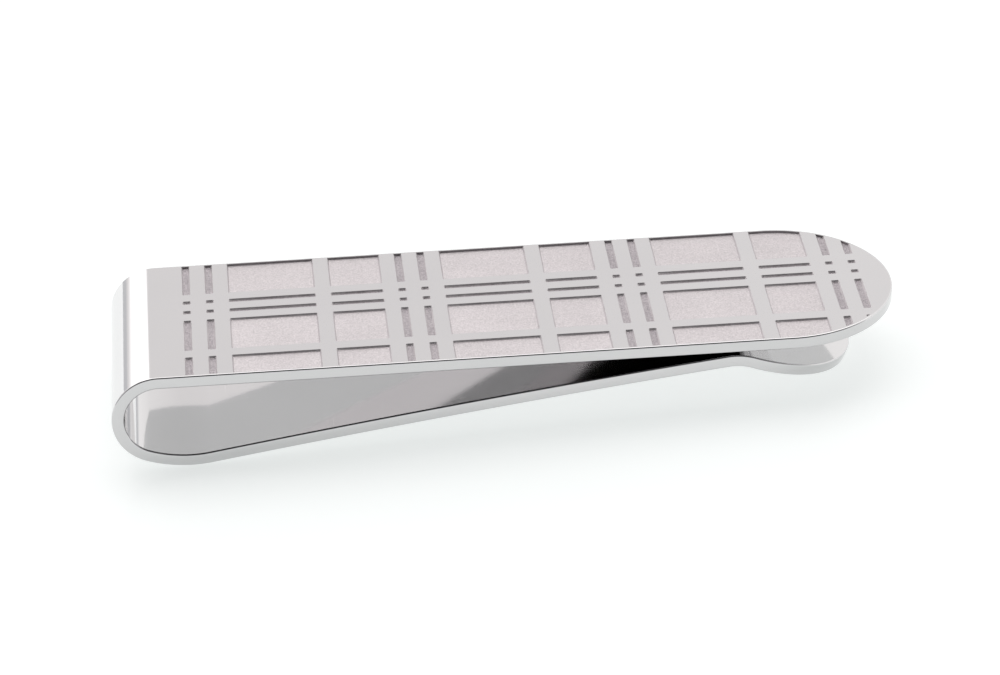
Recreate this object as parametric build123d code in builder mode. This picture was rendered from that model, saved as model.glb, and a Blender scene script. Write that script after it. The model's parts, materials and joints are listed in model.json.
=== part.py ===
from build123d import *
from math import acos, asin, atan2, cos, degrees, floor, hypot, radians, sin
import os

# A money clip: one strip of polished steel, bent round a bow so that its leg
# springs against the back of the front plate. The strip is kept as separate
# stretches, cut square across where the bow flexes and where the bend changes.
# It opens about a flex line on the outside of the bow's side, between bow_lower
# and bow_upper, so that the cut faces part and never meet.
# Lengths are in millimetres and angles in degrees.

# Strip
strip_width = 16.0
strip_thickness = 0.85
edge_round = 0.12

# Front plate, from the end of the bow to the start of its full-round end
plate_straight = 43.1

# Bow, heel, leg, ridge and lip, in the order they follow the plate
bow_inside_radius = 2.45
bow_upper_turn = 90.0
bow_lower_turn = 70.0
heel_inside_radius = 8.15
leg_length = 35.7
leg_crown_turn = 2.4
ridge_inside_radius = 3.2
contact_gap = 0.25
lip_flare = 20.0
lip_straight = 0.2

# Etched plaid: sunk panes and grooves with polished bars between them, and a
# narrow polished rim all round. Columns follow one another along the plate,
# rows lie across it.
etch_depth = 0.13
edge_rim = 0.2
plaid_start = 1.9
groove_width = 0.5
wide_pane = 6.0
narrow_pane = 3.6
cross_bar = 1.1
near_pane_row = 2.6
middle_pane_row = 4.2
fine_groove_width = 0.4
long_bar = 1.0
overrun = 1.0

half_thickness = strip_thickness / 2
half_width = strip_width / 2
bow_radius = bow_inside_radius + half_thickness
heel_radius = heel_inside_radius + half_thickness
ridge_radius = ridge_inside_radius + half_thickness


def heading(angle):
    """Unit step along a heading, an angle in radians from +u towards +v."""
    return Vector(cos(angle), sin(angle))


def left_of(angle):
    """Unit step to the left of a heading."""
    return Vector(-sin(angle), cos(angle))


# The side profile is worked out on the strip's mid line in plate
# coordinates: u runs along the plate away from the bow, v is up from the
# middle of the plate, and the bow begins at u = 0. The strip is followed
# from the plate round the bow to the lip.
side_heading = radians(180 + bow_upper_turn)
heel_heading = side_heading + radians(bow_lower_turn)
bow_start = Vector(0, 0)
bow_centre = Vector(0, -bow_radius)
bow_side = bow_centre - bow_radius * left_of(side_heading)
bow_end = bow_centre - bow_radius * left_of(heel_heading)
heel_centre = bow_end + heel_radius * left_of(heel_heading)

# The leg is an arc of very large radius, crowned towards the plate. The heel
# turns until the leg's rise brings the ridge's back within the contact gap
# of the plate: cos_part * cos(rise) + sin_part * sin(rise) = ridge_rise.
crown = radians(leg_crown_turn)
leg_radius = leg_length / crown
cos_part = (leg_radius - ridge_radius) * cos(crown) - leg_radius - heel_radius
sin_part = (leg_radius - ridge_radius) * sin(crown)
ridge_rise = -strip_thickness - contact_gap - heel_centre.Y - ridge_radius
leg_rise = atan2(sin_part, cos_part) - acos(ridge_rise / hypot(cos_part, sin_part))
heel_turn = leg_rise + radians(360) - heel_heading

leg_start = heel_centre - heel_radius * left_of(leg_rise)
leg_centre = leg_start - leg_radius * left_of(leg_rise)
ridge_heading = leg_rise - crown
ridge_start = leg_centre + leg_radius * left_of(ridge_heading)
ridge_centre = ridge_start - ridge_radius * left_of(ridge_heading)
lip_heading = -radians(lip_flare)
lip_start = ridge_centre + ridge_radius * left_of(lip_heading)
lip_length = lip_straight + half_width
lip_end = lip_start + lip_length * heading(lip_heading)

# The clip stands on its heel and on the toe of its lip, so the profile is
# tilted until the line that touches both from below is level.
lip_toe = lip_end - edge_round * heading(lip_heading)
lip_toe = lip_toe - (half_thickness - edge_round) * left_of(lip_heading)
heel_outside_radius = heel_radius + half_thickness
heel_to_toe = lip_toe - heel_centre
rest_tilt = asin((heel_outside_radius - edge_round) / heel_to_toe.length)
rest_tilt = rest_tilt + atan2(heel_to_toe.Y, heel_to_toe.X)

# Row frame: +X runs from the bow to the plate's tip, +Y across the strip and
# +Z up, with the origin under the middle of the clip on its resting plane.
along_plate = Vector(cos(rest_tilt), 0, -sin(rest_tilt))
tilted = Plane(origin=(0, 0, 0), x_dir=along_plate, z_dir=(0, -1, 0))
plate_tip = Vector(plate_straight + half_width - edge_round, half_thickness - edge_round)
leftmost = tilted.from_local_coords(bow_centre).X - bow_radius - half_thickness
rightmost = tilted.from_local_coords(plate_tip).X + edge_round
lowest = tilted.from_local_coords(heel_centre).Z - heel_outside_radius
row_origin = Vector(-(leftmost + rightmost) / 2, 0, -lowest)
profile = Plane(origin=row_origin, x_dir=along_plate, z_dir=(0, -1, 0))

turning_left = (0, -1, 0)
turning_right = (0, 1, 0)


def strip_plane(point, angle):
    """Plane square across the strip, facing along a heading."""
    origin = profile.from_local_coords(point)
    ahead = profile.from_local_coords(point + heading(angle)) - origin
    return Plane(origin=origin, x_dir=(0, 1, 0), z_dir=ahead)


def bend_axis(centre, turning):
    """Axis across the strip through the centre of a bend."""
    return Axis(profile.from_local_coords(centre), turning)


def underside_plane(point, angle):
    """Plane of the strip's lower face, with local x along a heading."""
    origin = profile.from_local_coords(point - half_thickness * left_of(angle))
    upward = profile.from_local_coords(point + half_thickness * left_of(angle)) - origin
    ahead = profile.from_local_coords(point + heading(angle)) - profile.from_local_coords(point)
    return Plane(origin=origin, x_dir=ahead, z_dir=upward)


def strip_section():
    """The strip's cross-section, drawn in the sketch that is being built."""
    RectangleRounded(strip_width, strip_thickness, edge_round)


def round_ended_outline(straight, inset=0.0):
    """Flat outline, from x = 0, of a stretch that ends in a full half circle."""
    from_cut_end = (Align.MIN, Align.CENTER)
    reach = half_width - inset
    with Locations((straight, 0)):
        Circle(reach)
    Rectangle(straight, 2 * reach, align=from_cut_end)
    Rectangle(straight + reach, 2 * reach, align=from_cut_end, mode=Mode.INTERSECT)


def outline_edges(part, plane):
    """Edges round both faces of a flat stretch, without those at its cut end."""
    upward = Axis(plane.origin, plane.z_dir)
    ahead = Axis(plane.origin, plane.x_dir)
    faces = part.faces().sort_by(upward)
    edges = faces[0].edges().sort_by(ahead)[1:]
    return edges + faces[-1].edges().sort_by(ahead)[1:]


def sunk_spans(start, widths, bar):
    """Middle and width of each sunk span, laid one bar apart from a start."""
    spans = []
    for width in widths:
        spans.append((start + width / 2, width))
        start = start + width + bar
    return spans


# Columns of the plaid: two grooves, a wide pane and a narrow pane, repeated
# as often as they fit, and two grooves more to end as it began.
repeat_widths = [groove_width, groove_width, wide_pane, narrow_pane]
repeat_length = sum(repeat_widths) + len(repeat_widths) * cross_bar
repeats = floor((plate_straight + half_width - plaid_start) / repeat_length)
closing_grooves = [groove_width, groove_width]
columns = sunk_spans(plaid_start, repeat_widths * repeats + closing_grooves, cross_bar)

# Rows of the plaid: a pane row along the near edge, a middle pane row, two
# fine grooves, and a pane row along the far edge. The outer rows run past the
# plate's edges, and the whole plaid is then trimmed back to the rim.
near_row_start = -half_width - overrun
rows = sunk_spans(
    near_row_start,
    [overrun + near_pane_row, middle_pane_row, fine_groove_width, fine_groove_width],
    long_bar,
)
far_row_start = rows[-1][0] + fine_groove_width / 2 + long_bar
far_row_width = half_width + overrun - far_row_start
rows.append((far_row_start + far_row_width / 2, far_row_width))

with BuildSketch() as inside_rim:
    round_ended_outline(plate_straight, edge_rim)

plate_under = underside_plane(bow_start, 0)
with BuildPart() as front_plate:
    with BuildSketch(plate_under):
        round_ended_outline(plate_straight)
    extrude(amount=strip_thickness)
    fillet(outline_edges(front_plate, plate_under), edge_round)
    with BuildSketch(plate_under.offset(strip_thickness)):
        for column_middle, column_width in columns:
            for row_middle, row_width in rows:
                with Locations((column_middle, row_middle)):
                    Rectangle(column_width, row_width)
        add(inside_rim.sketch, mode=Mode.INTERSECT)
    extrude(amount=-etch_depth, mode=Mode.SUBTRACT)

with BuildPart() as bow_upper:
    with BuildSketch(strip_plane(bow_start, radians(180))):
        strip_section()
    revolve(axis=bend_axis(bow_centre, turning_left), revolution_arc=bow_upper_turn)

with BuildPart() as bow_lower:
    with BuildSketch(strip_plane(bow_side, side_heading)):
        strip_section()
    revolve(axis=bend_axis(bow_centre, turning_left), revolution_arc=bow_lower_turn)

with BuildPart() as heel:
    with BuildSketch(strip_plane(bow_end, heel_heading)):
        strip_section()
    revolve(axis=bend_axis(heel_centre, turning_left), revolution_arc=degrees(heel_turn))

with BuildPart() as spring_leg:
    with BuildSketch(strip_plane(leg_start, leg_rise)):
        strip_section()
    revolve(axis=bend_axis(leg_centre, turning_right), revolution_arc=leg_crown_turn)

with BuildPart() as contact_ridge:
    with BuildSketch(strip_plane(ridge_start, ridge_heading)):
        strip_section()
    revolve(
        axis=bend_axis(ridge_centre, turning_right),
        revolution_arc=degrees(ridge_heading - lip_heading),
    )

lip_under = underside_plane(lip_start, lip_heading)
with BuildPart() as thumb_lip:
    with BuildSketch(lip_under):
        round_ended_outline(lip_straight)
    extrude(amount=strip_thickness)
    fillet(outline_edges(thumb_lip, lip_under), edge_round)

front_plate.part.label = "front_plate"
bow_upper.part.label = "bow_upper"
bow_lower.part.label = "bow_lower"
heel.part.label = "heel"
spring_leg.part.label = "spring_leg"
contact_ridge.part.label = "contact_ridge"
thumb_lip.part.label = "thumb_lip"

os.makedirs("parts", exist_ok=True)
export_step(front_plate.part, "parts/front_plate.step")
export_step(bow_upper.part, "parts/bow_upper.step")
export_step(bow_lower.part, "parts/bow_lower.step")
export_step(heel.part, "parts/heel.step")
export_step(spring_leg.part, "parts/spring_leg.step")
export_step(contact_ridge.part, "parts/contact_ridge.step")
export_step(thumb_lip.part, "parts/thumb_lip.step")

flex_line = profile.from_local_coords(bow_side - half_thickness * left_of(side_heading))
print("flex line at x", round(flex_line.X, 3), "and z", round(flex_line.Z, 3))
print("leg rise", round(degrees(leg_rise), 3), "and rest tilt", round(degrees(rest_tilt), 3))
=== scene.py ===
import json
from math import acos, asin, atan2, ceil, cos, floor, hypot, inf, pi, radians, sin

import bmesh
import bpy
from mathutils import Matrix, Vector


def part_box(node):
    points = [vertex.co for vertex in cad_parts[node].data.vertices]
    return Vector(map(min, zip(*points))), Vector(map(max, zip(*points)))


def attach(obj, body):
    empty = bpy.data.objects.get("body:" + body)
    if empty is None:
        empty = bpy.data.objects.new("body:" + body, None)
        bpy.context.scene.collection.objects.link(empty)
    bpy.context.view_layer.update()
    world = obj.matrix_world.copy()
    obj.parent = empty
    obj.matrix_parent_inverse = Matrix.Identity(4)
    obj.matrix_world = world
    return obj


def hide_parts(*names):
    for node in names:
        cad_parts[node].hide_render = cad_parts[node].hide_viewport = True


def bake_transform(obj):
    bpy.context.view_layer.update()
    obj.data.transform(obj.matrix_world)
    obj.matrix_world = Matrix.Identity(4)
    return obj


# A money clip bent from one strip of polished steel, with a plaid etched in its front.

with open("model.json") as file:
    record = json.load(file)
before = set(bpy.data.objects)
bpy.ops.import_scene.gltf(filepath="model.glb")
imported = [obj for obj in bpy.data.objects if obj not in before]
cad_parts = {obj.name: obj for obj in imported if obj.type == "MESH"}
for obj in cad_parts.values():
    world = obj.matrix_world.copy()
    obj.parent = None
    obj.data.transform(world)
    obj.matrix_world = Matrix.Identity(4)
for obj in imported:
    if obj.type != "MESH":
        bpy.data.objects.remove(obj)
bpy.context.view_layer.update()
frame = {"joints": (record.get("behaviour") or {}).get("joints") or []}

# Sizes of the strip, in metres and radians. Its width and its flex line come
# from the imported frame; the bends are the ones the strip was designed with.
MM = 0.001
plate_low, plate_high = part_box("front_plate")
strip_width = plate_high.y - plate_low.y
half_width = strip_width / 2
strip_thickness = 0.85 * MM
half_thickness = strip_thickness / 2
edge_round = 0.12 * MM

plate_straight = 43.1 * MM
bow_radius = 2.45 * MM + half_thickness
bow_turn = radians(160)
heel_radius = 8.15 * MM + half_thickness
leg_length = 35.7 * MM
leg_crown_turn = radians(2.4)
ridge_radius = 3.2 * MM + half_thickness
contact_gap = 0.25 * MM
lip_flare = radians(20)
lip_straight = 0.2 * MM

# Where one visible stretch meets the next, always on a flat or nearly flat run of metal
plate_seam = 1.2 * MM
lip_seam = 0.1 * MM
leg_seam_share = 0.06

# Etched plaid: sunk panes and grooves, with polished bars between them and a polished
# rim all round. Columns follow one another along the plate, rows lie across it.
etch_depth = 0.13 * MM
edge_rim = 0.2 * MM
etch_wall_lean = 0.06 * MM
etch_rim_chamfer = 0.03 * MM
etch_corner = 0.06 * MM
plaid_start = 1.9 * MM
groove_width = 0.5 * MM
wide_pane = 6.0 * MM
narrow_pane = 3.6 * MM
cross_bar = 1.1 * MM
near_pane_row = 2.6 * MM
middle_pane_row = 4.2 * MM
fine_groove_width = 0.4 * MM
long_bar = 1.0 * MM
overrun = 1.0 * MM

# One repeat of the columns, how often it fits on the plate, and where the plaid
# ends: in the bar that follows two closing grooves
plaid_columns = [groove_width, groove_width, wide_pane, narrow_pane]
repeat_length = sum(plaid_columns) + len(plaid_columns) * cross_bar
full_repeats = floor((plate_straight + half_width - plaid_start) / repeat_length)
plaid_end = plaid_start + full_repeats * repeat_length + 2 * groove_width + 1.5 * cross_bar

# How finely curves are divided, and how sharp a bend between faces stays an edge
edge_facets = 5
round_end_facets = 96
corner_facets = 4
bend_facet = radians(0.8)
leg_facet = radians(0.05)
crease_angle = radians(28)


# ---------------------------------------------------------------- side profile

def ahead(angle):
    """Unit step along a heading, measured from +u towards +v."""
    return Vector((cos(angle), sin(angle)))


def left_of(angle):
    """Unit step to the left of a heading."""
    return Vector((-sin(angle), cos(angle)))


def trace_profile():
    """The strip's bends on its mid line, in plate coordinates: u along the plate, v up from its middle."""
    heel_heading = pi + bow_turn
    bow_centre = Vector((0, -bow_radius))
    bow_end = bow_centre - bow_radius * left_of(heel_heading)
    heel_centre = bow_end + heel_radius * left_of(heel_heading)
    leg_radius = leg_length / leg_crown_turn
    cos_part = (leg_radius - ridge_radius) * cos(leg_crown_turn) - leg_radius - heel_radius
    sin_part = (leg_radius - ridge_radius) * sin(leg_crown_turn)
    ridge_rise = -strip_thickness - contact_gap - heel_centre.y - ridge_radius
    leg_rise = atan2(sin_part, cos_part) - acos(ridge_rise / hypot(cos_part, sin_part))
    leg_start = heel_centre - heel_radius * left_of(leg_rise)
    leg_centre = leg_start - leg_radius * left_of(leg_rise)
    ridge_heading = leg_rise - leg_crown_turn
    ridge_start = leg_centre + leg_radius * left_of(ridge_heading)
    ridge_centre = ridge_start - ridge_radius * left_of(ridge_heading)
    lip_start = ridge_centre + ridge_radius * left_of(-lip_flare)
    return {
        "bow": (bow_centre, bow_radius, pi, bow_turn),
        "heel": (heel_centre, heel_radius, heel_heading, leg_rise + 2 * pi - heel_heading),
        "leg": (leg_centre, leg_radius, leg_rise, -leg_crown_turn),
        "ridge": (ridge_centre, ridge_radius, ridge_heading, -lip_flare - ridge_heading),
        "lip_start": lip_start,
        "leg_rise": leg_rise,
    }


profile = trace_profile()


def find_rest_tilt():
    """How far the plate leans towards its tip when the clip stands on its heel and lip."""
    heel_centre = profile["heel"][0]
    toe = profile["lip_start"] + (lip_straight + half_width - edge_round) * ahead(-lip_flare)
    toe = toe - (half_thickness - edge_round) * left_of(-lip_flare)
    reach = toe - heel_centre
    drop = heel_radius + half_thickness - edge_round
    return asin(drop / reach.length) + atan2(reach.y, reach.x)


rest_tilt = find_rest_tilt()
tilt_turn = Matrix.Rotation(rest_tilt, 4, "Y")
flex_line = Vector(frame["joints"][0]["pos_m"])
bow_side = Vector((-bow_radius - half_thickness, 0, -bow_radius))
plate_to_row = Matrix.Translation(flex_line - tilt_turn @ bow_side) @ tilt_turn


def in_row(point, across=0.0):
    """A profile point in the row frame."""
    return plate_to_row @ Vector((point.x, across, point.y))


def along_arc(bend, facet):
    """Points along one bend of the profile, no further than a facet's turn apart."""
    centre, radius, heading, turn = bend
    side = 1 if turn > 0 else -1
    count = max(2, ceil(abs(turn) / facet))
    points = []
    for step in range(count + 1):
        angle = heading + turn * step / count
        points.append(centre - side * radius * left_of(angle))
    return points


# -------------------------------------------------------------------- materials

class Value:
    """A shader socket that can be written in sums: each operator adds its Math node."""

    def __init__(self, tree, socket):
        self.tree = tree
        self.socket = socket

    def _math(self, operation, *operands):
        node = self.tree.nodes.new("ShaderNodeMath")
        node.operation = operation
        for place, operand in enumerate(operands):
            if isinstance(operand, Value):
                self.tree.links.new(operand.socket, node.inputs[place])
            else:
                node.inputs[place].default_value = operand
        return Value(self.tree, node.outputs[0])

    def __add__(self, other):
        return self._math("ADD", self, other)

    def __radd__(self, other):
        return self._math("ADD", other, self)

    def __sub__(self, other):
        return self._math("SUBTRACT", self, other)

    def __rsub__(self, other):
        return self._math("SUBTRACT", other, self)

    def __mul__(self, other):
        return self._math("MULTIPLY", self, other)

    def __rmul__(self, other):
        return self._math("MULTIPLY", other, self)

    def above(self, limit):
        """1 where the value is over a limit, otherwise 0."""
        return self._math("GREATER_THAN", self, limit)

    def clamped(self):
        """The value held between 0 and 1."""
        return self._math("MINIMUM", self._math("MAXIMUM", self, 0.0), 1.0)

    def past(self, limit, sharpness):
        """Rises from 0 to 1 beyond a limit."""
        return ((self - limit) * sharpness).clamped()

    def short_of(self, limit, sharpness):
        """Falls from 1 to 0 on the way up to a limit."""
        return ((limit - self) * sharpness).clamped()


class Shading:
    """A shader node tree, with short ways to add and mix its nodes."""

    def __init__(self, tree):
        self.tree = tree

    def node(self, kind, settings, values, output=0):
        """Adds a node: its settings first, then the values or links of its sockets."""
        node = self.tree.nodes.new(kind)
        for name, setting in settings.items():
            setattr(node, name, setting)
        for name, value in values.items():
            if isinstance(value, Value):
                self.tree.links.new(value.socket, node.inputs[name])
            else:
                node.inputs[name].default_value = value
        return Value(self.tree, node.outputs[output])

    def mix(self, factor, first, second):
        """A colour between two, by a factor from 0 to 1."""
        return self.node("ShaderNodeMix", {"data_type": "RGBA"}, {0: factor, 6: first, 7: second}, 2)


class Finish(Shading):
    """One material's node tree, with a Principled BSDF and the piece's own coordinates."""

    def __init__(self, name):
        self.material = bpy.data.materials.new(name)
        self.material.use_nodes = True
        super().__init__(self.material.node_tree)
        self.tree.nodes.clear()
        self.shader = self.tree.nodes.new("ShaderNodeBsdfPrincipled")
        output = self.tree.nodes.new("ShaderNodeOutputMaterial")
        self.tree.links.new(self.shader.outputs["BSDF"], output.inputs["Surface"])
        self.place = self.node("ShaderNodeTexCoord", {}, {}, "Object")

    def stretched(self, scale):
        """The piece's coordinates turned to lie along the plate and scaled along each axis."""
        flat = self.node(
            "ShaderNodeMapping",
            {"vector_type": "POINT"},
            {"Vector": self.place, "Rotation": (0, -rest_tilt, 0)},
        )
        return self.node("ShaderNodeVectorMath", {"operation": "MULTIPLY"}, {0: flat, 1: scale})

    def noise(self, scale, detail, roughness=0.5):
        """Noise with so many features a metre along x, y and z."""
        return self.node(
            "ShaderNodeTexNoise",
            {"noise_dimensions": "3D"},
            {"Vector": self.stretched(scale), "Scale": 1.0, "Detail": detail, "Roughness": roughness},
            "Fac",
        )

    def bump(self, height, distance):
        """A Bump node's normal, for a height in units of the distance."""
        return self.node("ShaderNodeBump", {}, {"Height": height, "Distance": distance}, "Normal")

    def feed(self, **sockets):
        """Sets the shader's own sockets: constants on the socket, what varies as a link."""
        for name, value in sockets.items():
            socket = self.shader.inputs[name.replace("_", " ")]
            if isinstance(value, Value):
                self.tree.links.new(value.socket, socket)
            else:
                socket.default_value = value


def polished_steel():
    """Mirror polish: faint draw lines along the strip, sparse hairline scratches, a breath of haze."""
    finish = Finish("polished_steel")
    haze = finish.noise((130, 160, 130), detail=3.0)
    draw_lines = finish.noise((180, 9000, 9000), detail=2.0)
    hairlines = finish.noise((420, 15000, 2600), detail=1.0).above(0.735)
    cross_hairlines = finish.noise((12000, 500, 2600), detail=1.0).above(0.75)
    scratches = (hairlines + cross_hairlines).clamped()
    finish.feed(
        Base_Color=finish.mix(haze, (0.615, 0.61, 0.615, 1), (0.65, 0.642, 0.645, 1)),
        Metallic=1.0,
        Roughness=0.035 + 0.03 * haze + 0.025 * draw_lines + 0.09 * scratches,
        Normal=finish.bump(0.5 * draw_lines + 0.5 * scratches, 0.0004 * MM),
    )
    return finish.material


def etched_floor(name, dark, light):
    """Frosted by the acid: fine crystalline grain over slow, cloudy tone."""
    finish = Finish(name)
    grain = finish.noise((8000, 6500, 6500), detail=3.0, roughness=0.7)
    coarse = finish.noise((3600, 2600, 2600), detail=1.0)
    cloud = finish.noise((240, 320, 320), detail=1.0)
    tone = (0.72 * grain + 0.16 * coarse + 0.12 * cloud).past(0.36, 3.6)
    finish.feed(
        Base_Color=finish.mix(tone, dark, light),
        Metallic=1.0,
        Roughness=0.34 + 0.2 * grain,
        Normal=finish.bump(grain + 0.8 * coarse, 0.016 * MM),
    )
    return finish.material


def etched_wall():
    """The steep sides of the etching: as grainy as its floor and a little duller."""
    finish = Finish("etched_wall")
    grain = finish.noise((8000, 8000, 8000), detail=2.0)
    finish.feed(
        Base_Color=finish.mix(grain, (0.42, 0.395, 0.405, 1), (0.72, 0.685, 0.695, 1)),
        Metallic=1.0,
        Roughness=0.45 + 0.2 * grain,
        Normal=finish.bump(grain, 0.006 * MM),
    )
    return finish.material


def pale_floor():
    """Plain pale acrylic table top, softly lit from below, with a soft sheen."""
    finish = Finish("pale_floor")
    cloud = finish.noise((9, 9, 9), detail=1.0)
    finish.feed(
        Base_Color=finish.mix(cloud, (0.44, 0.445, 0.445, 1), (0.46, 0.46, 0.465, 1)),
        Roughness=0.3 + 0.06 * cloud,
        Specular_IOR_Level=0.2,
        Emission_Color=(0.965, 1.0, 0.988, 1),
        Emission_Strength=0.66,
    )
    return finish.material


steel = polished_steel()
pane_floor = etched_floor("etched_pane", (0.45, 0.426, 0.432, 1), (0.645, 0.606, 0.616, 1))
# The groove floors get darker colours than the pane floors: painted shade in the narrow grooves.
shaded_groove_floor = etched_floor("etched_groove_painted_shade", (0.24, 0.22, 0.235, 1), (0.50, 0.465, 0.48, 1))
etch_wall = etched_wall()
sunk_materials = [pane_floor, etch_wall, shaded_groove_floor]


# --------------------------------------------------------------- geometry nodes

class Rule:
    """A geometry node tree with named inputs, and short ways to add and link its nodes."""

    def __init__(self, name, inputs):
        self.tree = bpy.data.node_groups.new(name, "GeometryNodeTree")
        face = self.tree.interface
        face.new_socket("Geometry", in_out="INPUT", socket_type="NodeSocketGeometry")
        self.identifiers = {}
        for label, kind in inputs.items():
            socket = face.new_socket(label, in_out="INPUT", socket_type=kind)
            self.identifiers[label] = socket.identifier
        face.new_socket("Geometry", in_out="OUTPUT", socket_type="NodeSocketGeometry")
        self.source = self.tree.nodes.new("NodeGroupInput")
        self.result = self.tree.nodes.new("NodeGroupOutput")

    def input(self, label):
        """The tree's own input of this name."""
        return self.source.outputs[label]

    def node(self, kind, settings, values, output=0):
        """Adds a node: its settings first, then the values or links of its sockets."""
        node = self.tree.nodes.new(kind)
        for name, setting in settings.items():
            setattr(node, name, setting)
        for name, value in values.items():
            for one in value if isinstance(value, list) else [value]:
                if isinstance(one, bpy.types.NodeSocket):
                    self.tree.links.new(one, node.inputs[name])
                else:
                    node.inputs[name].default_value = one
        return node.outputs[output]

    def finish(self, geometry, material, selection=True):
        """Ends the tree: edges past the crease angle kept sharp, instances made real, a material set."""
        angle = self.node("GeometryNodeInputMeshEdgeAngle", {}, {})
        crisp = self.node("FunctionNodeCompare", {"operation": "GREATER_THAN"}, {0: angle, 1: crease_angle})
        smooth = self.node("GeometryNodeSetShadeSmooth", {"domain": "FACE"}, {"Geometry": geometry})
        creased = self.node(
            "GeometryNodeSetShadeSmooth",
            {"domain": "EDGE"},
            {"Geometry": smooth, "Selection": crisp, "Shade Smooth": False},
        )
        real = self.node("GeometryNodeRealizeInstances", {}, {"Geometry": creased})
        painted = self.node(
            "GeometryNodeSetMaterial", {}, {"Geometry": real, "Selection": selection, "Material": material}
        )
        self.tree.links.new(painted, self.result.inputs[0])

    def apply(self, mesh, name, values):
        """Runs the tree on a mesh with these inputs and returns the result as a plain mesh."""
        carrier = bpy.data.objects.new(name + "_carrier", mesh)
        bpy.context.scene.collection.objects.link(carrier)
        modifier = carrier.modifiers.new(name, "NODES")
        modifier.node_group = self.tree
        for label, value in values.items():
            modifier[self.identifiers[label]] = value
        bpy.context.view_layer.update()
        evaluated = carrier.evaluated_get(bpy.context.evaluated_depsgraph_get())
        made = bpy.data.meshes.new_from_object(evaluated)
        carrier.modifiers.remove(modifier)
        bpy.data.objects.remove(carrier)
        made.name = name
        return made


def bent_strip_rule():
    """Sweeps the strip's rounded section along a mid line."""
    rule = Rule(
        "Bent strip",
        {"Width": "NodeSocketFloat", "Thickness": "NodeSocketFloat", "Edge round": "NodeSocketFloat",
         "Edge facets": "NodeSocketInt"},
    )
    line = rule.node("GeometryNodeMeshToCurve", {}, {"Mesh": rule.input("Geometry")})
    upright = rule.node(
        "GeometryNodeSetCurveNormal", {"mode": "FREE"}, {"Curve": line, "Normal": (0, 1, 0)}
    )
    section = rule.node(
        "GeometryNodeCurvePrimitiveQuadrilateral",
        {"mode": "RECTANGLE"},
        {"Width": rule.input("Width"), "Height": rule.input("Thickness")},
    )
    eased = rule.node(
        "GeometryNodeFilletCurve",
        {"mode": "POLY"},
        {"Curve": section, "Count": rule.input("Edge facets"), "Radius": rule.input("Edge round")},
    )
    swept = rule.node(
        "GeometryNodeCurveToMesh", {}, {"Curve": upright, "Profile Curve": eased, "Fill Caps": True}
    )
    rule.finish(swept, steel)
    return rule


bent_strip = bent_strip_rule()


def sweep_strip(name, points):
    """A stretch of strip along profile points, as a plain mesh in the row frame."""
    line = bpy.data.meshes.new(name + "_line")
    places = [in_row(point) for point in points]
    line.from_pydata(places, [(i, i + 1) for i in range(len(places) - 1)], [])
    sizes = {"Width": strip_width, "Thickness": strip_thickness, "Edge round": edge_round,
             "Edge facets": edge_facets}
    return bent_strip.apply(line, name, sizes)


# ----------------------------------------------------------------------- blanks

def round_ended_solid(name, start, end, levels, far_limit=inf):
    """A closed solid from x = start to a half circle beyond x = end, cut off at a far limit.
    Each level is a half width and a height."""
    build = bmesh.new()
    rings = []
    for reach, height in levels:
        outline = [(start, -reach)]
        for step in range(round_end_facets + 1):
            angle = -pi / 2 + pi * step / round_end_facets
            outline.append((min(end + reach * cos(angle), far_limit), reach * sin(angle)))
        outline.append((start, reach))
        rings.append([build.verts.new((x, y, height)) for x, y in outline])
    for below, above in zip(rings, rings[1:]):
        for place in range(len(below) - 1):
            build.faces.new((below[place], below[place + 1], above[place + 1], above[place]))
    build.faces.new(rings[-1])
    build.faces.new(list(reversed(rings[0])))
    build.faces.new([ring[0] for ring in rings] + [ring[-1] for ring in reversed(rings)])
    return as_mesh(name, build)


def as_mesh(name, build):
    """Turns what was built into a mesh whose faces point outwards."""
    bmesh.ops.recalc_face_normals(build, faces=build.faces)
    mesh = bpy.data.meshes.new(name)
    build.to_mesh(mesh)
    build.free()
    return mesh


def round_ended_blank(name, start, end):
    """A flat blank lying on z = 0, with its long and round edges eased top and bottom."""
    levels = []
    for step in range(edge_facets + 2):
        turn = pi / 2 * step / (edge_facets + 1)
        levels.append((half_width - edge_round * (1 - sin(turn)), edge_round * (1 - cos(turn))))
    levels += [(reach, strip_thickness - height) for reach, height in reversed(levels)]
    return round_ended_solid(name, start, end, levels)


def sunk_spans(start, widths, bar):
    """Middle and width of each sunk span, laid one bar apart from a start."""
    spans = []
    for width in widths:
        spans.append((start + width / 2, width))
        start = start + width + bar
    return spans


def plaid_rows():
    """The sunk rows across the strip: panes along both edges, a middle pane and two fine grooves."""
    widths = [overrun + near_pane_row, middle_pane_row, fine_groove_width, fine_groove_width]
    rows = sunk_spans(-half_width - overrun, widths, long_bar)
    start = rows[-1][0] + fine_groove_width / 2 + long_bar
    width = half_width + overrun - start
    return rows + [(start + width / 2, width)]


def area_inside_rim():
    """A tall prism over the plaid's area, within the plate's polished rim, for trimming the plaid."""
    reach = half_width - edge_rim
    levels = [(reach, 0.0), (reach, 2 * strip_thickness)]
    mesh = round_ended_solid("inside_rim", 0.0, plate_straight, levels, plaid_end)
    mesh.materials.append(etch_wall)
    return bpy.data.objects.new("inside_rim", mesh)


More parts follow.
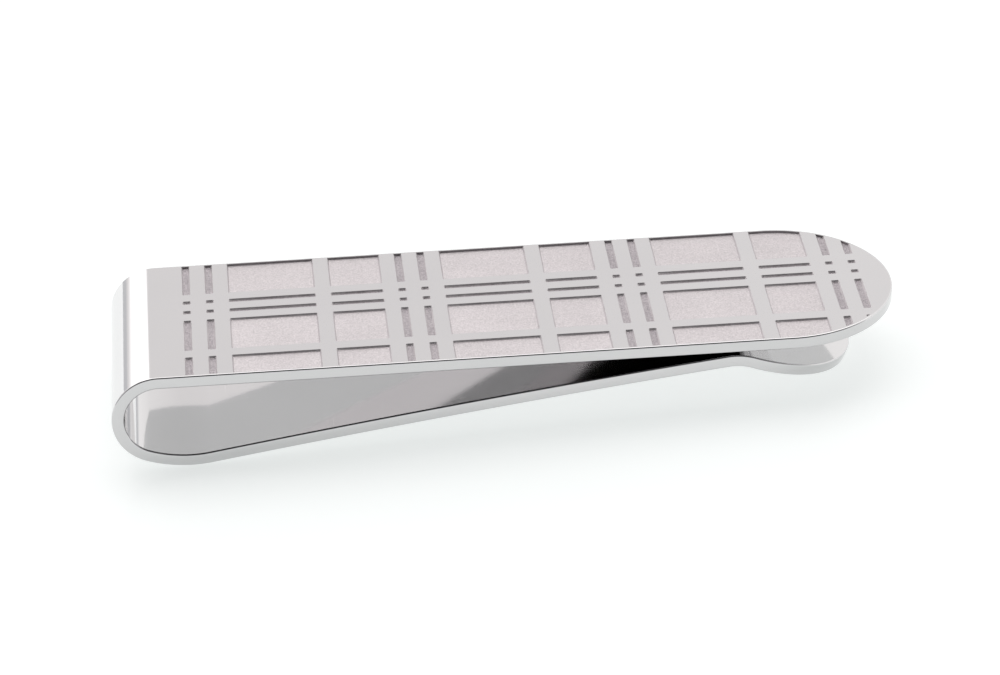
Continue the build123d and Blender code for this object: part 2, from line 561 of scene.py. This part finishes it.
def add_sunk_shape(build, middle, size):
    """One pane or groove as a closed solid: leaning walls, rounded corners and a chamfered rim."""
    # Narrow shapes take the darker groove floor: painted shade in the narrow recesses.
    floor_material = shaded_groove_floor if min(size) <= groove_width else pane_floor
    headroom = 3 * etch_rim_chamfer
    levels = [
        (-etch_depth, -etch_wall_lean),
        (-etch_rim_chamfer, 0.0),
        (0.0, etch_rim_chamfer),
        (headroom, headroom + etch_rim_chamfer),
    ]
    rings = []
    for height, outset in levels:
        radius = etch_corner + outset
        ring = []
        for quarter, (side_x, side_y) in enumerate(((1, 1), (-1, 1), (-1, -1), (1, -1))):
            corner_x = middle[0] + side_x * (size[0] / 2 - etch_corner)
            corner_y = middle[1] + side_y * (size[1] / 2 - etch_corner)
            for step in range(corner_facets + 1):
                angle = pi / 2 * (quarter + step / corner_facets)
                place = (corner_x + radius * cos(angle), corner_y + radius * sin(angle), height)
                ring.append(build.verts.new(place))
        rings.append(ring)
    for below, above in zip(rings, rings[1:]):
        for place in range(len(below)):
            after = (place + 1) % len(below)
            wall = build.faces.new((below[place], below[after], above[after], above[place]))
            wall.material_index = sunk_materials.index(etch_wall)
    floor = build.faces.new(list(reversed(rings[0])))
    floor.material_index = sunk_materials.index(floor_material)
    build.faces.new(rings[-1])


def one_plaid_repeat():
    """The sunk shapes of one repeat of the plaid, measured from the plaid's start and the top face."""
    build = bmesh.new()
    for column_middle, column_width in sunk_spans(0.0, plaid_columns, cross_bar):
        for row_middle, row_width in plaid_rows():
            add_sunk_shape(build, (column_middle, row_middle), (column_width, row_width))
    mesh = as_mesh("plaid_repeat", build)
    for material in sunk_materials:
        mesh.materials.append(material)
    return bpy.data.objects.new("plaid_repeat", mesh)


def etched_plaid_rule():
    """Lays one repeat of sunk shapes again and again, trims it to the rim and cuts it from a blank."""
    rule = Rule(
        "Etched plaid",
        {"Sunk shapes": "NodeSocketObject", "Inside rim": "NodeSocketObject", "Repeats": "NodeSocketInt",
         "Repeat length": "NodeSocketFloat", "Start": "NodeSocketFloat", "Top": "NodeSocketFloat"},
    )
    shapes = rule.node("GeometryNodeObjectInfo", {}, {"Object": rule.input("Sunk shapes")}, "Geometry")
    start = rule.node("ShaderNodeCombineXYZ", {}, {"X": rule.input("Start"), "Z": rule.input("Top")})
    step = rule.node("ShaderNodeCombineXYZ", {}, {"X": rule.input("Repeat length")})
    places = rule.node(
        "GeometryNodeMeshLine", {}, {"Count": rule.input("Repeats"), "Start Location": start, "Offset": step}
    )
    laid = rule.node("GeometryNodeInstanceOnPoints", {}, {"Points": places, "Instance": shapes})
    cutters = rule.node("GeometryNodeRealizeInstances", {}, {"Geometry": laid})
    area = rule.node("GeometryNodeObjectInfo", {}, {"Object": rule.input("Inside rim")}, "Geometry")
    trimmed = rule.node(
        "GeometryNodeMeshBoolean",
        {"operation": "INTERSECT", "solver": "EXACT"},
        {"Mesh 2": [cutters, area]},
    )
    cut = rule.node(
        "GeometryNodeMeshBoolean",
        {"operation": "DIFFERENCE", "solver": "EXACT"},
        {"Mesh 1": rule.input("Geometry"), "Mesh 2": trimmed},
    )
    bare = rule.node("GeometryNodeMaterialSelection", {}, {"Material": steel})
    rule.finish(cut, steel, bare)
    return rule


# ----------------------------------------------------------------------- pieces

def shade_by_area(piece):
    """Lets the broad faces keep their true normals beside narrow rounded edges."""
    weighted = piece.modifiers.new("broad_faces", "WEIGHTED_NORMAL")
    weighted.mode = "FACE_AREA"
    weighted.weight = 100
    weighted.keep_sharp = True


def add_piece(name, mesh, nodes):
    """Links a finished mesh as a piece that stands for these CAD nodes."""
    piece = bpy.data.objects.new(name, mesh)
    bpy.context.scene.collection.objects.link(piece)
    shade_by_area(piece)
    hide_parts(*nodes)
    return piece


def make_front_plate():
    """The flat front: a round-ended blank with the plaid etched into its top face. The last
    repeat is trimmed to its first two grooves."""
    blank = round_ended_blank("plate_blank", plate_seam, plate_straight)
    blank.materials.append(steel)
    shapes = one_plaid_repeat()
    area = area_inside_rim()
    for helper in (shapes, area):
        bpy.context.scene.collection.objects.link(helper)
    values = {
        "Sunk shapes": shapes,
        "Inside rim": area,
        "Repeats": full_repeats + 1,
        "Repeat length": repeat_length,
        "Start": plaid_start,
        "Top": strip_thickness,
    }
    mesh = etched_plaid_rule().apply(blank, "front_plate_etched", values)
    for helper in (shapes, area):
        bpy.data.objects.remove(helper)
    mesh.transform(plate_to_row @ Matrix.Translation((0, 0, -half_thickness)))
    piece = add_piece("front_plate_etched", mesh, ["front_plate"])
    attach(piece, "front")


def make_bow():
    """The bow and heel in one sweep, from the plate's plain end to the foot of the leg."""
    centre, radius, heading, turn = profile["leg"]
    points = [Vector((plate_seam, 0)), Vector((plate_seam / 2, 0))]
    points += along_arc(profile["bow"], bend_facet)
    points += along_arc(profile["heel"], bend_facet)[1:]
    points += along_arc((centre, radius, heading, turn * leg_seam_share), leg_facet)[1:]
    mesh = sweep_strip("bow_bend", points)
    return add_piece("bow_bend", mesh, ["bow_upper", "bow_lower", "heel"])


def make_leg():
    """The crowned leg and the ridge at its end, in one sweep."""
    centre, radius, heading, turn = profile["leg"]
    rest_of_leg = (centre, radius, heading + turn * leg_seam_share, turn * (1 - leg_seam_share))
    points = along_arc(rest_of_leg, leg_facet)
    points += along_arc(profile["ridge"], bend_facet)[1:]
    points.append(profile["lip_start"] + lip_seam * ahead(-lip_flare))
    mesh = sweep_strip("leg_strip", points)
    piece = add_piece("leg_strip", mesh, ["spring_leg", "contact_ridge"])
    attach(piece, "leg")


def make_lip():
    """The half-round lip, flat and flared down from the ridge."""
    mesh = round_ended_blank("lip_flare", lip_seam, lip_straight)
    mesh.materials.append(steel)
    mesh.shade_smooth()
    lip_to_plate = Matrix.Translation((profile["lip_start"].x, 0, profile["lip_start"].y))
    lip_to_plate = lip_to_plate @ Matrix.Rotation(lip_flare, 4, "Y")
    mesh.transform(plate_to_row @ lip_to_plate @ Matrix.Translation((0, 0, -half_thickness)))
    mesh.set_sharp_from_angle(angle=crease_angle)
    piece = add_piece("lip_flare", mesh, ["thumb_lip"])
    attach(piece, "leg")


make_front_plate()
bow = make_bow()
make_leg()
make_lip()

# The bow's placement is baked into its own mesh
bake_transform(bow)


# ------------------------------------------------------------------------ stage

def add_floor():
    """A plain pale table top, a hair under the clip."""
    reach = 3.0
    under = -0.01 * MM
    corners = [(-1, -1), (1, -1), (1, 1), (-1, 1)]
    mesh = bpy.data.meshes.new("floor")
    mesh.from_pydata([(reach * x, reach * y, under) for x, y in corners], [], [(0, 1, 2, 3)])
    mesh.materials.append(pale_floor())
    floor = bpy.data.objects.new("floor", mesh)
    bpy.context.scene.collection.objects.link(floor)


def aimed(place, target):
    """Turn that points a light or camera at the target."""
    return (Vector(target) - Vector(place)).to_track_quat("-Z", "Y").to_matrix().to_4x4()


def add_softbox(name, azimuth, elevation, distance, size, brightness, colour):
    """A soft rectangular light as bright as so many white walls, by azimuth from +Y towards +X."""
    light = bpy.data.lights.new(name, "AREA")
    light.shape = "RECTANGLE"
    light.size = size[0]
    light.size_y = size[1]
    light.energy = brightness * pi * size[0] * size[1]
    light.color = colour
    lamp = bpy.data.objects.new(name, light)
    azimuth = radians(azimuth)
    elevation = radians(elevation)
    flat = cos(elevation)
    place = distance * Vector((sin(azimuth) * flat, cos(azimuth) * flat, sin(elevation)))
    lamp.matrix_world = Matrix.Translation(place) @ aimed(place, (0, 0, 0))
    bpy.context.scene.collection.objects.link(lamp)


# The studio's paint, in brightness of a white wall, and where its patches end, by how far
# a direction looks up or right. The panel's right end is a share of how far it looks back.
wall_white = (1.0, 0.975, 0.975, 1)
camera_side_grey = (0.46, 0.46, 0.47, 1)
camera_side_black = (0.008, 0.008, 0.01, 1)
black_foot = 0.46
skirting_grey = (0.74, 0.745, 0.765, 1)
skirting_top = 0.12
panel_glow = (1.75, 1.72, 1.72, 1)
panel_foot = 0.14
panel_top = 0.8
panel_left_end = -0.74
panel_right_end = -0.17
right_wall_glow = (1.22, 1.21, 1.2, 1)


class Surround(Shading):
    """The world's node tree, painted by direction: up, back and right are each from -1 to 1."""

    def __init__(self, colour):
        world = bpy.data.worlds.new("studio")
        bpy.context.scene.world = world
        world.use_nodes = True
        super().__init__(world.node_tree)
        self.direction = self.node("ShaderNodeTexCoord", {}, {}, "Generated")
        self.colour = colour

    def along(self, axis):
        """How far each direction looks along an axis, from -1 to 1."""
        settings = {"operation": "DOT_PRODUCT"}
        return self.node("ShaderNodeVectorMath", settings, {0: self.direction, 1: axis}, "Value")

    def paint(self, mask, colour):
        """Lays a colour over what is there, where the mask is 1."""
        self.colour = self.mix(mask, self.colour, colour)

    def finish(self):
        """Hands the painted colour to the world's background."""
        background = self.tree.nodes["Background"]
        self.tree.links.new(self.colour.socket, background.inputs["Color"])


def add_surround():
    """The studio: white walls, dark behind the camera, a grey skirting and a bright panel back left."""
    surround = Surround(wall_white)
    height = surround.along((0, 0, 1))
    back = surround.along((0, 1, 0))
    right = surround.along((1, 0, 0))

    camera_side = back.short_of(0.02, 12)
    surround.paint(camera_side, camera_side_grey)
    surround.paint(camera_side * height.past(black_foot, 14), camera_side_black)

    skirting = height.short_of(skirting_top, 30) * back.past(-0.2, 12)
    surround.paint(skirting, skirting_grey)

    panel_width = (right - panel_right_end * back).short_of(0.0, 40) * right.past(panel_left_end, 12)
    panel_height = height.past(panel_foot, 12) * height.short_of(panel_top, 30)
    surround.paint(panel_width * panel_height * back.past(0.1, 20), panel_glow)

    right_wall = (right - 0.1 * back).past(0.0, 2.2) * height.past(0.05, 20) * back.past(-0.1, 20)
    surround.paint(right_wall, right_wall_glow)
    surround.finish()


def add_camera():
    """A long lens at the clip's near side, a little above it and rolled slightly."""
    azimuth = radians(2.822)
    elevation = radians(29.157)
    roll = radians(-4.474)
    target = Vector((-0.254, -0.16, 3.105)) * MM
    distance = 278.14 * MM
    flat = cos(elevation)
    towards = Vector((sin(azimuth) * flat, cos(azimuth) * flat, -sin(elevation)))
    level_right = Vector((cos(azimuth), -sin(azimuth), 0))
    level_up = level_right.cross(towards)
    right = cos(roll) * level_right + sin(roll) * level_up
    up = right.cross(towards)
    turn = Matrix((right, up, -towards)).transposed().to_4x4()
    lens = bpy.data.cameras.new("camera")
    lens.lens = 144
    lens.sensor_width = 36
    lens.clip_start = 0.01
    camera = bpy.data.objects.new("camera", lens)
    camera.matrix_world = Matrix.Translation(target - distance * towards) @ turn
    bpy.context.scene.collection.objects.link(camera)
    bpy.context.scene.camera = camera


add_floor()
add_surround()
add_softbox("overhead_panel", 0, 62, 0.9, (0.9, 0.6), 1.1, (1, 0.99, 0.99))
add_camera()
bpy.context.scene.view_settings.view_transform = "Standard"
